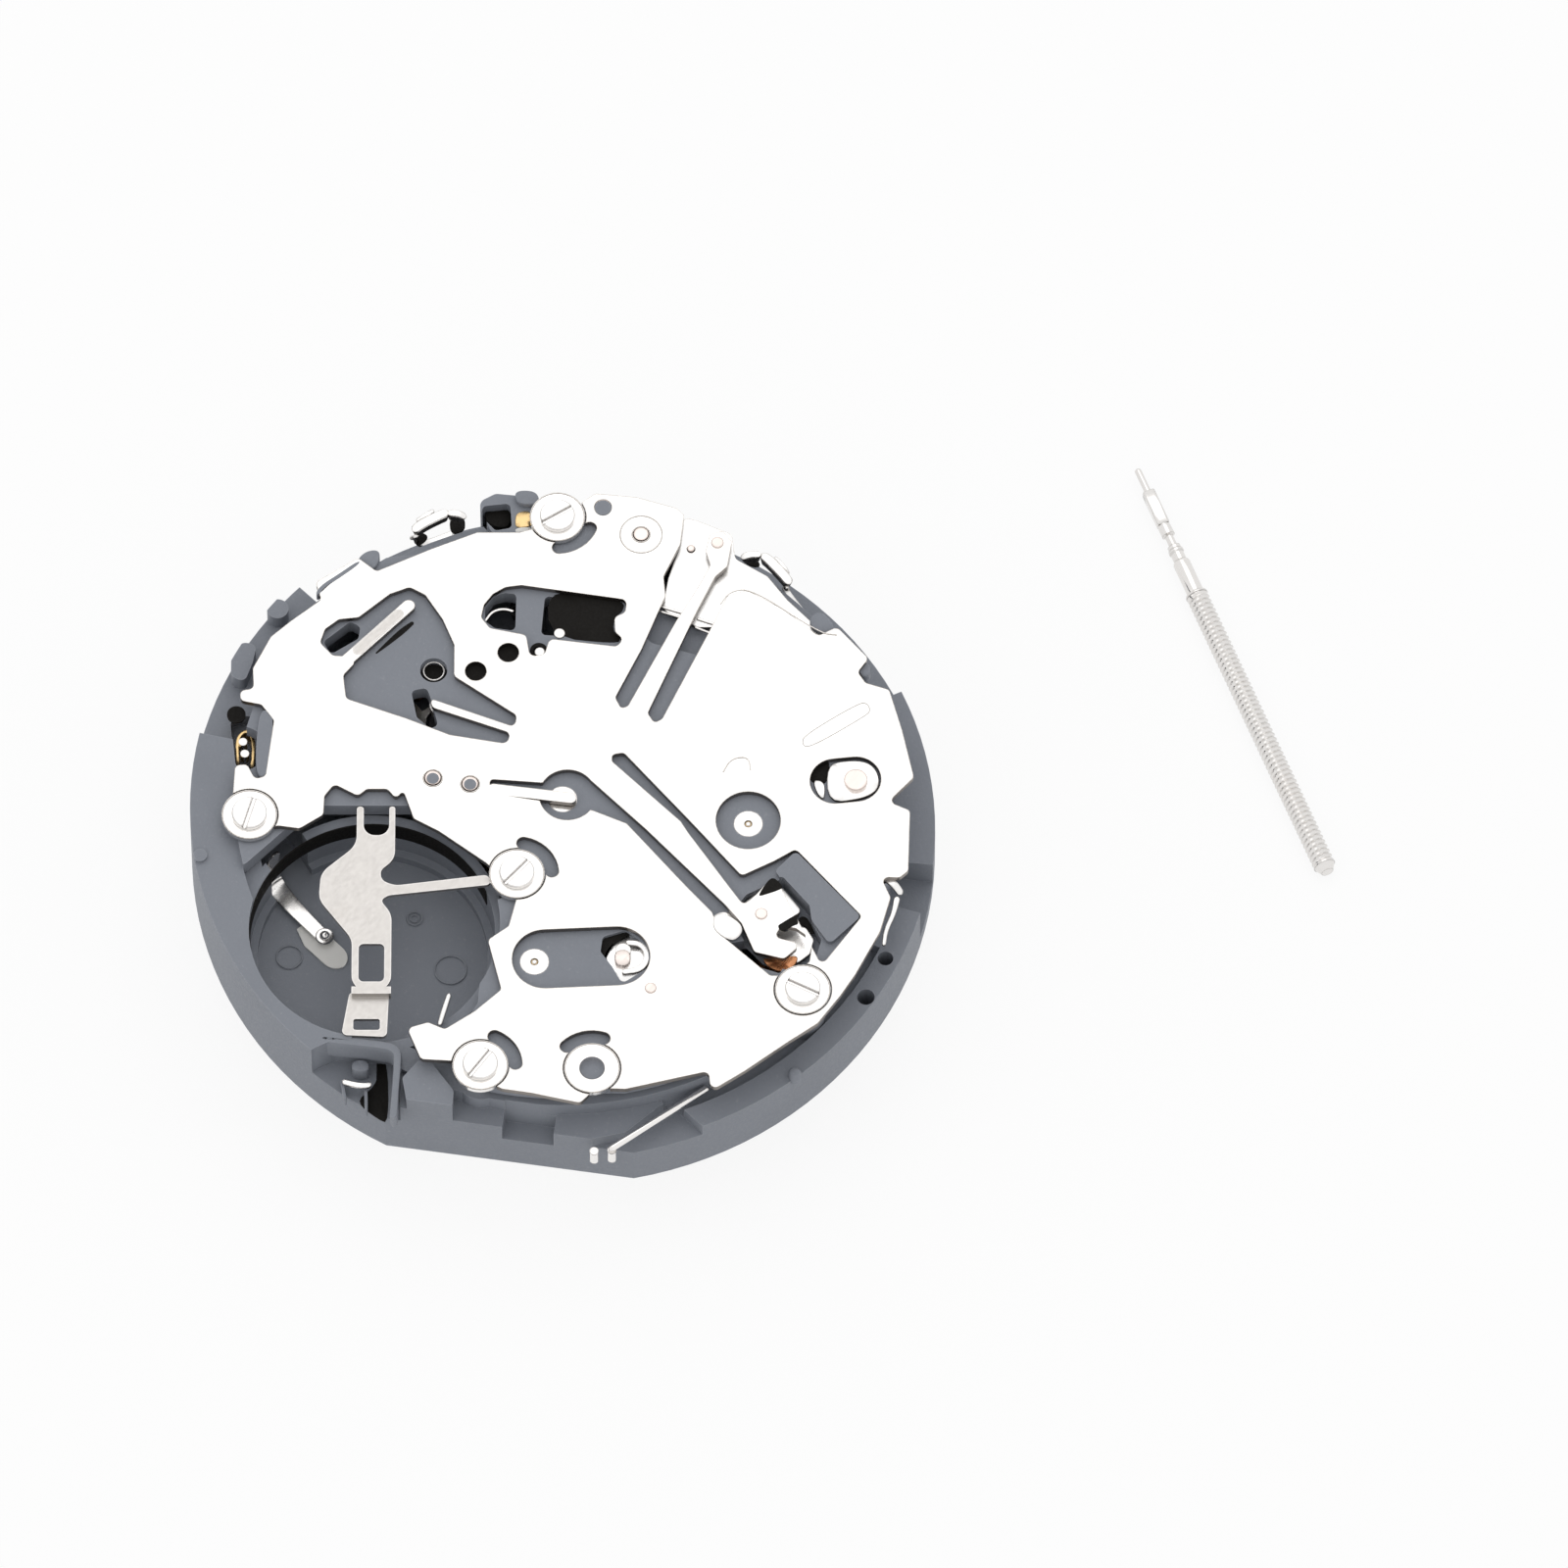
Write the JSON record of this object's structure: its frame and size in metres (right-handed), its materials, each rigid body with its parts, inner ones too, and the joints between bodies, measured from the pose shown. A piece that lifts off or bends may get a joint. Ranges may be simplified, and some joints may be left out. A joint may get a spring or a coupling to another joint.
{
  "type": "quartz watch movement",
  "caption": "Round quartz chronograph movement with a date: grey base, bright slotted top plate, open battery well with its clamp, and a loose setting stem.",
  "frame": {"origin": "centre of the movement on the plane of its dial seat, on the hour-hand post's axis", "axes": "+Z towards the battery side, +X along the stem hole towards the crown (3 o'clock), so 12 o'clock is -Y"},
  "size_m": [0.0361, 0.0449, 0.0073],
  "materials": {
    "grey_plastic": "satin",
    "bright_steel": "bright",
    "screw_steel": "polished",
    "rivet_steel": "fine",
    "pillar_steel": "turned",
    "lever_steel": "satin",
    "clamp_steel": "matt",
    "brass": "polished",
    "arbor_steel": "polished",
    "white_plastic": "matt",
    "magnet": "satin",
    "soft_iron": "satin",
    "copper_wire": "enamelled",
    "board": "gloss",
    "crystal_can": "satin",
    "chip_black": "matt"
  },
  "bodies": {
    "movement": {"main_plate": "grey_plastic", "upper_frame": "grey_plastic", "top_plate": "bright_steel", "plate_screws": "screw_steel", "plate_pillars": "pillar_steel", "pivot_bushes": "screw_steel", "plate_rivets": "rivet_steel", "lever_studs": "rivet_steel", "motion_studs": "rivet_steel", "date_jumper": "lever_steel", "calendar_guard": "lever_steel", "time_stator": "soft_iron", "time_coil_core": "soft_iron", "time_coil_winding": "copper_wire", "chrono_stator": "soft_iron", "chrono_coil_core": "soft_iron", "chrono_coil_winding": "copper_wire", "circuit_board": "board", "quartz_crystal": "crystal_can", "control_chip": "chip_black", "contact_block": "brass", "contact_pins": "arbor_steel", "wire_spring": "screw_steel", "wire_studs": "screw_steel"},
    "operating_lever_body": {"operating_lever": "lever_steel"},
    "hammer_body": {"hammer": "lever_steel"},
    "reset_lever_body": {"reset_lever": "lever_steel"},
    "centre_wheel_body": {"centre_wheel": "brass"},
    "cannon_pinion_body": {"cannon_pinion": "brass"},
    "hour_wheel_body": {"hour_wheel": "brass"},
    "minute_wheel_body": {"minute_wheel": "brass"},
    "setting_wheel_body": {"setting_wheel": "brass"},
    "intermediate_setting_wheel_body": {"intermediate_setting_wheel": "brass"},
    "date_intermediate_wheel_body": {"date_intermediate_wheel": "white_plastic"},
    "date_driving_wheel_body": {"date_driving_wheel": "white_plastic"},
    "date_ring_body": {"date_ring": "white_plastic"},
    "small_seconds_wheel_body": {"small_seconds_wheel": "brass"},
    "third_wheel_body": {"third_wheel": "brass"},
    "step_wheel_body": {"step_wheel": "brass"},
    "rotor_body": {"rotor": "magnet"},
    "chrono_rotor_body": {"chrono_rotor": "magnet"},
    "chrono_wheel_body": {"chrono_wheel": "brass"},
    "chrono_drive_wheel_body": {"chrono_drive_wheel": "brass"},
    "chrono_seconds_arbor_body": {"chrono_seconds_arbor": "arbor_steel"},
    "counting_wheel_body": {"counting_wheel": "brass"},
    "minute_counter_arbor_body": {"minute_counter_arbor": "brass"},
    "setting_lever_body": {"setting_lever": "lever_steel"},
    "yoke_body": {"yoke": "lever_steel"},
    "sliding_pinion_body": {"sliding_pinion": "arbor_steel"},
    "start_contact_body": {"start_contact": "lever_steel"},
    "reset_contact_body": {"reset_contact": "lever_steel"},
    "battery_clamp_body": {"battery_clamp": "clamp_steel"},
    "negative_spring_body": {"negative_spring": "clamp_steel"},
    "setting_stem_body": {"setting_stem": "arbor_steel"}
  },
  "joints": [
    {"name": "rotor_spin", "type": "hinge", "parent": "movement", "child": "rotor_body", "pos_m": [-0.00459, -0.00715, 0.002], "axis": [0, 0, 1], "continuous": true},
    {"name": "step_wheel_spin", "type": "hinge", "parent": "movement", "child": "step_wheel_body", "pos_m": [-0.00209, -0.00684, 0.002], "axis": [0, 0, 1], "continuous": true},
    {"name": "small_seconds_spin", "type": "hinge", "parent": "movement", "child": "small_seconds_wheel_body", "pos_m": [0, -0.0074, 0.002], "axis": [0, 0, 1], "continuous": true},
    {"name": "third_wheel_spin", "type": "hinge", "parent": "movement", "child": "third_wheel_body", "pos_m": [0.00034, -0.00402, 0.002], "axis": [0, 0, 1], "continuous": true},
    {"name": "centre_wheel_spin", "type": "hinge", "parent": "movement", "child": "centre_wheel_body", "pos_m": [0, 0, 0.002], "axis": [0, 0, 1], "continuous": true},
    {"name": "chrono_rotor_spin", "type": "hinge", "parent": "movement", "child": "chrono_rotor_body", "pos_m": [0.00372, 0.00531, 0.002], "axis": [0, 0, 1], "continuous": true},
    {"name": "chrono_wheel_spin", "type": "hinge", "parent": "movement", "child": "chrono_wheel_body", "pos_m": [0.00296, 0.00249, 0.002], "axis": [0, 0, 1], "continuous": true},
    {"name": "chrono_drive_spin", "type": "hinge", "parent": "movement", "child": "chrono_drive_wheel_body", "pos_m": [0, 0, 0.002], "axis": [0, 0, 1], "continuous": true},
    {"name": "chrono_seconds_spin", "type": "hinge", "parent": "movement", "child": "chrono_seconds_arbor_body", "pos_m": [0, 0, 0.002], "axis": [0, 0, 1], "continuous": true},
    {"name": "counting_wheel_spin", "type": "hinge", "parent": "movement", "child": "counting_wheel_body", "pos_m": [-0.00339, -0.00196, 0.002], "axis": [0, 0, 1], "continuous": true},
    {"name": "minute_counter_spin", "type": "hinge", "parent": "movement", "child": "minute_counter_arbor_body", "pos_m": [-0.0073, 0, 0.002], "axis": [0, 0, 1], "continuous": true},
    {"name": "minute_wheel_spin", "type": "hinge", "parent": "movement", "child": "minute_wheel_body", "pos_m": [0.00173, -0.001, 0.002], "axis": [0, 0, 1], "continuous": true},
    {"name": "cannon_pinion_spin", "type": "hinge", "parent": "movement", "child": "cannon_pinion_body", "pos_m": [0, 0, 0.002], "axis": [0, 0, 1], "continuous": true},
    {"name": "hour_wheel_spin", "type": "hinge", "parent": "movement", "child": "hour_wheel_body", "pos_m": [0, 0, 0.002], "axis": [0, 0, 1], "continuous": true},
    {"name": "setting_wheel_spin", "type": "hinge", "parent": "movement", "child": "setting_wheel_body", "pos_m": [0.0038, 0, 0.002], "axis": [0, 0, 1], "continuous": true},
    {"name": "intermediate_setting_spin", "type": "hinge", "parent": "movement", "child": "intermediate_setting_wheel_body", "pos_m": [0.0056, 0, 0.002], "axis": [0, 0, 1], "continuous": true},
    {"name": "date_intermediate_spin", "type": "hinge", "parent": "movement", "child": "date_intermediate_wheel_body", "pos_m": [0.0008, 0.00453, 0.002], "axis": [0, 0, 1], "continuous": true},
    {"name": "date_driving_spin", "type": "hinge", "parent": "movement", "child": "date_driving_wheel_body", "pos_m": [0.00144, 0.00819, 0.002], "axis": [0, 0, 1], "continuous": true},
    {"name": "date_ring_spin", "type": "hinge", "parent": "movement", "child": "date_ring_body", "pos_m": [0, 0, 0.002], "axis": [0, 0, 1], "continuous": true},
    {"name": "hammer_swing", "type": "hinge", "parent": "movement", "child": "hammer_body", "pos_m": [-0.0057, -0.0053, 0.0036], "axis": [0, 0, 1], "range_deg": [-3, 0]},
    {"name": "operating_lever_swing", "type": "hinge", "parent": "movement", "child": "operating_lever_body", "pos_m": [0.01188, -0.00332, 0.0044], "axis": [0, 0, 1], "range_deg": [0, 3]},
    {"name": "reset_lever_swing", "type": "hinge", "parent": "movement", "child": "reset_lever_body", "pos_m": [-0.00367, -0.00847, 0.0041], "axis": [0, 0, 1], "range_deg": [0, 4]},
    {"name": "setting_lever_swing", "type": "hinge", "parent": "movement", "child": "setting_lever_body", "pos_m": [0.0104, -0.0026, 0.00195], "axis": [0, 0, 1], "range_deg": [0, 8]},
    {"name": "yoke_swing", "type": "hinge", "parent": "movement", "child": "yoke_body", "pos_m": [0.0096, 0.003, 0.00195], "axis": [0, 0, 1], "range_deg": [-8.8, 0]},
    {"name": "sliding_pinion_slide", "type": "slide", "parent": "movement", "child": "sliding_pinion_body", "axis": [-1, 0, 0], "range_m": [0, 0.00035]},
    {"name": "battery_clamp_lift", "type": "hinge", "parent": "movement", "child": "battery_clamp_body", "pos_m": [-0.00155, 0.00722, 0.00452], "axis": [-0.1478, 0.989, 0], "range_deg": [0, 105]},
    {"name": "start_contact_press", "type": "hinge", "parent": "movement", "child": "start_contact_body", "pos_m": [0.01127, -0.00638, 0.00377], "axis": [0.4924, 0.8704, 0], "range_deg": [0, 10], "stiffness_Nm_per_rad": 0.0002},
    {"name": "reset_contact_press", "type": "hinge", "parent": "movement", "child": "reset_contact_body", "pos_m": [0.01116, 0.00657, 0.00377], "axis": [-0.5075, 0.8616, 0], "range_deg": [0, 10], "stiffness_Nm_per_rad": 0.0002},
    {"name": "negative_spring_flex", "type": "hinge", "parent": "movement", "child": "negative_spring_body", "pos_m": [-0.0027, 0.01113, 0.00142], "axis": [0.6403, -0.7681, 0], "range_deg": [0, 1.3], "stiffness_Nm_per_rad": 0.0005},
    {"name": "stem_lift", "type": "slide", "parent": "movement", "child": "setting_stem_body", "axis": [0, 0, 1], "range_m": [0, 0.02]}
  ],
  "couplings": [
    {"joint": "step_wheel_spin", "follows": "rotor_spin", "ratio": -0.16667},
    {"joint": "small_seconds_spin", "follows": "rotor_spin", "ratio": 0.033333},
    {"joint": "third_wheel_spin", "follows": "rotor_spin", "ratio": -0.0044444},
    {"joint": "centre_wheel_spin", "follows": "rotor_spin", "ratio": 0.00055556},
    {"joint": "chrono_wheel_spin", "follows": "chrono_rotor_spin", "ratio": -0.13333},
    {"joint": "chrono_drive_spin", "follows": "chrono_rotor_spin", "ratio": 0.016667},
    {"joint": "chrono_seconds_spin", "follows": "counting_wheel_spin", "ratio": -7.5},
    {"joint": "minute_counter_spin", "follows": "counting_wheel_spin", "ratio": -0.125},
    {"joint": "cannon_pinion_spin", "follows": "minute_wheel_spin", "ratio": -3},
    {"joint": "hour_wheel_spin", "follows": "minute_wheel_spin", "ratio": -0.25},
    {"joint": "setting_wheel_spin", "follows": "minute_wheel_spin", "ratio": -1.875},
    {"joint": "intermediate_setting_spin", "follows": "minute_wheel_spin", "ratio": 1.5},
    {"joint": "date_intermediate_spin", "follows": "minute_wheel_spin", "ratio": 0.13333},
    {"joint": "date_driving_spin", "follows": "minute_wheel_spin", "ratio": -0.125},
    {"joint": "setting_lever_swing", "follows": "sliding_pinion_slide", "rad_per_m": 398.93},
    {"joint": "yoke_swing", "follows": "sliding_pinion_slide", "rad_per_m": -438.83}
  ]
}
